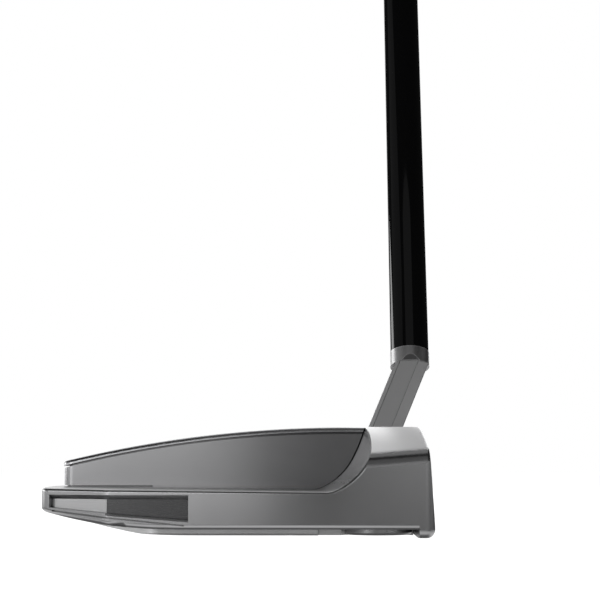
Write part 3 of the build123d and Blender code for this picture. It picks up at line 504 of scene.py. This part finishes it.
SHAFT_X = 42.4
SHAFT_GROUND_Y = 7.0            # where the shaft's axis would meet the ground
COLLAR_LOW = 40.7
COLLAR_AT = Vector((SHAFT_X, SHAFT_GROUND_Y + COLLAR_LOW * tan(LEAN), COLLAR_LOW))
CLUB_LENGTH = 864.0
CAP_THICK = 3.2
GRIP_LENGTH = 267.0
GRIP_HIGH_AT = CLUB_LENGTH - COLLAR_LOW / cos(LEAN) - CAP_THICK     # up the axis from the collar's foot
GRIP_LOW_AT = GRIP_HIGH_AT + CAP_THICK - GRIP_LENGTH
GRIP_LOW = (10.6, 9.6)          # radius, and the flat front's distance from the axis
GRIP_HIGH = (14.6, 12.6)
GRIP_MOUTH = 7.66               # radius, a little over the shaft's
GRIP_RUN = GRIP_HIGH_AT - GRIP_LOW_AT
GRIP_RINGS = 330
GRIP_AROUND = 120
CORNER_BLEND = 1.1
MOUTH_DEEP = 1.2                # how far up inside the mouth the mesh starts
LIP_ROUND = 1.3
LIP_TURNS = (0, 25, 50, 75)     # degrees of the rounding at which it has a ring
WORKED_FROM = 1.4               # height of the first moulded ring over the mouth
INSET = 0.05                    # keeps the lip and the top just inside the skin that they replace
WORKED_INSET = 0.04             # and so for the moulded rings
SEAM = (0.25, 0.35)             # depth and half width
END_GROOVE = (0.45, 0.7)
GROOVE_FROM_END = (6.0, 7.0)    # from the mouth and from the cap
PATTERN_FROM_END = (12.0, 13.0)
FLAT_FROM = 0.86                # how squarely the surface faces the flat's way where the ribs begin
RIB_PITCH = 3.2
RIB_DEPTH = 0.28
DIMPLE_PITCH = 4.4
DIMPLE_DEPTH = 0.32
DIMPLE_RADIUS = 1.1
DIMPLES_EVEN_AT = 12.5          # radius where they are as far apart round the grip as along it


def grip_radius(share, angle):
    """Distance from the axis to the grip's plain surface, a circle cut by a flat with a soft corner."""
    radius = GRIP_LOW[0] + (GRIP_HIGH[0] - GRIP_LOW[0]) * share
    flat = GRIP_LOW[1] + (GRIP_HIGH[1] - GRIP_LOW[1]) * share
    toward_flat = -sin(angle)
    if toward_flat <= 0.05:
        return radius
    cut = flat / toward_flat
    nearer = min(radius, cut)
    gap = abs(radius - cut)
    return nearer - CORNER_BLEND * exp(-gap / CORNER_BLEND) * 0.5


def groove(away, depth, half_width):
    """Depth of a soft groove, so far away from its middle."""
    return depth * exp(-((away / half_width) ** 2))


def grip_pattern(along, angle, radius):
    """Depth of the pattern: cross ribs on the flat, round dimples behind, a seam and end grooves."""
    depth = groove((angle - pi / 2) * radius, *SEAM)
    for end in (GROOVE_FROM_END[0], GRIP_RUN - GROOVE_FROM_END[1]):
        depth = max(depth, groove(along - end, *END_GROOVE))
    if not PATTERN_FROM_END[0] < along < GRIP_RUN - PATTERN_FROM_END[1]:
        return depth
    if -sin(angle) > FLAT_FROM:
        rib = 0.5 + 0.5 * cos(2 * pi * along / RIB_PITCH)
        return max(depth, RIB_DEPTH * rib**3)
    row = round(along / DIMPLE_PITCH)
    shift = 0.5 * DIMPLE_PITCH * (row % 2)
    arc = angle * DIMPLES_EVEN_AT + shift
    du = along - row * DIMPLE_PITCH
    dv = (arc + DIMPLE_PITCH / 2) % DIMPLE_PITCH - DIMPLE_PITCH / 2
    return max(depth, DIMPLE_DEPTH * exp(-((du * du + dv * dv) / DIMPLE_RADIUS**2) ** 2))


def grip():
    """Moulded grip in place of its plain skin, from the mouth's lip up to the cap."""
    mesh = bmesh.new()
    rings = []

    def ring(along, distance):
        verts = []
        for step in range(GRIP_AROUND):
            angle = 2 * pi * step / GRIP_AROUND
            out = distance(angle)
            around = Vector((1, 0, 0)) * out * cos(angle) + SHAFT_ACROSS * out * sin(angle)
            at = COLLAR_AT + SHAFT_UP * along + around
            verts.append(mesh.verts.new(at * MM))
        rings.append(verts)

    ring(GRIP_LOW_AT + MOUTH_DEEP, lambda angle: GRIP_MOUTH)
    ring(GRIP_LOW_AT + INSET, lambda angle: GRIP_MOUTH + INSET)
    for turn in LIP_TURNS:
        lift = LIP_ROUND * (1 - cos(radians(turn)))
        pull = LIP_ROUND * (1 - sin(radians(turn)))
        ring(GRIP_LOW_AT + INSET + lift, lambda angle: grip_radius(0.0, angle) - pull - INSET)
    for index in range(GRIP_RINGS + 1):
        share = index / GRIP_RINGS
        along = WORKED_FROM + (GRIP_RUN - (WORKED_FROM + INSET)) * share

        def worked(angle):
            plain = grip_radius(along / GRIP_RUN, angle)
            return plain - WORKED_INSET - grip_pattern(along, angle, plain)

        ring(GRIP_LOW_AT + along, worked)
    for low, high in zip(rings, rings[1:]):
        for step in range(GRIP_AROUND):
            after = (step + 1) % GRIP_AROUND
            mesh.faces.new((low[step], low[after], high[after], high[step]))
    for face in mesh.faces:
        face.smooth = True
    bmesh.ops.recalc_face_normals(mesh, faces=mesh.faces)
    data = bpy.data.meshes.new("moulded_grip")
    mesh.to_mesh(data)
    mesh.free()
    obj = bpy.data.objects.new("moulded_grip", data)
    scene.collection.objects.link(obj)
    data.materials.append(grip_rubber.material)
    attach(obj, "club")
    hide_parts("grip_skin")


# ---- Dressing -------------------------------------------------------------------------------

WEIGHT_AT = (32.4, 29.0)        # the toe's weight is at the same place on the other side of the middle

dress(head_metal, "frame_body")
dress(core_metal, "core_shell")
dress(crown_metal, "crown_plate")
dress(sole_metal, "sole_plate")
dress(weight_metal, "toe_wing_weight", "heel_wing_weight")
dress(inlay_metal, "toe_wing_inlay", "heel_wing_inlay")
dress(bush_metal, "toe_weight_bush", "heel_weight_bush")
dress(screw_metal, "sole_plate_screws", "core_screws", "neck_screw")
dress(insert_material(), "face_insert")
dress(neck_material(), "neck")
for weight, y in (("toe_sole_weight", -WEIGHT_AT[1]), ("heel_sole_weight", WEIGHT_AT[1])):
    weight_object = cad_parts[weight]
    middle = weight_object.matrix_world.inverted() @ (Vector((WEIGHT_AT[0], y, 0)) * MM) / MM
    dress(turned_material(weight + "_steel", (0.42, 0.42, 0.425), 0.24, middle), weight)
dress(enamel_material(), "sight_line")
dress(lacquer_material(), "shaft")
nylon = rubber_material("nylon", (0.012, 0.012, 0.012), 0.5, 3.0, 0.01)
dress(nylon, "toe_weight_washer", "heel_weight_washer")
dress(rubber_material("tape", (0.62, 0.59, 0.50), 0.7, 1.5, 0.03), "insert_tape", "grip_tape")
dress(rubber_material("damping_rubber", (0.02, 0.02, 0.02), 0.7, 2.0, 0.05), "damping_pad")
dress(rubber_material("grip_foam", (0.05, 0.05, 0.055), 0.85, 2.5, 0.08), "grip_core")
dress(grip_rubber, "grip_cap")
grip()
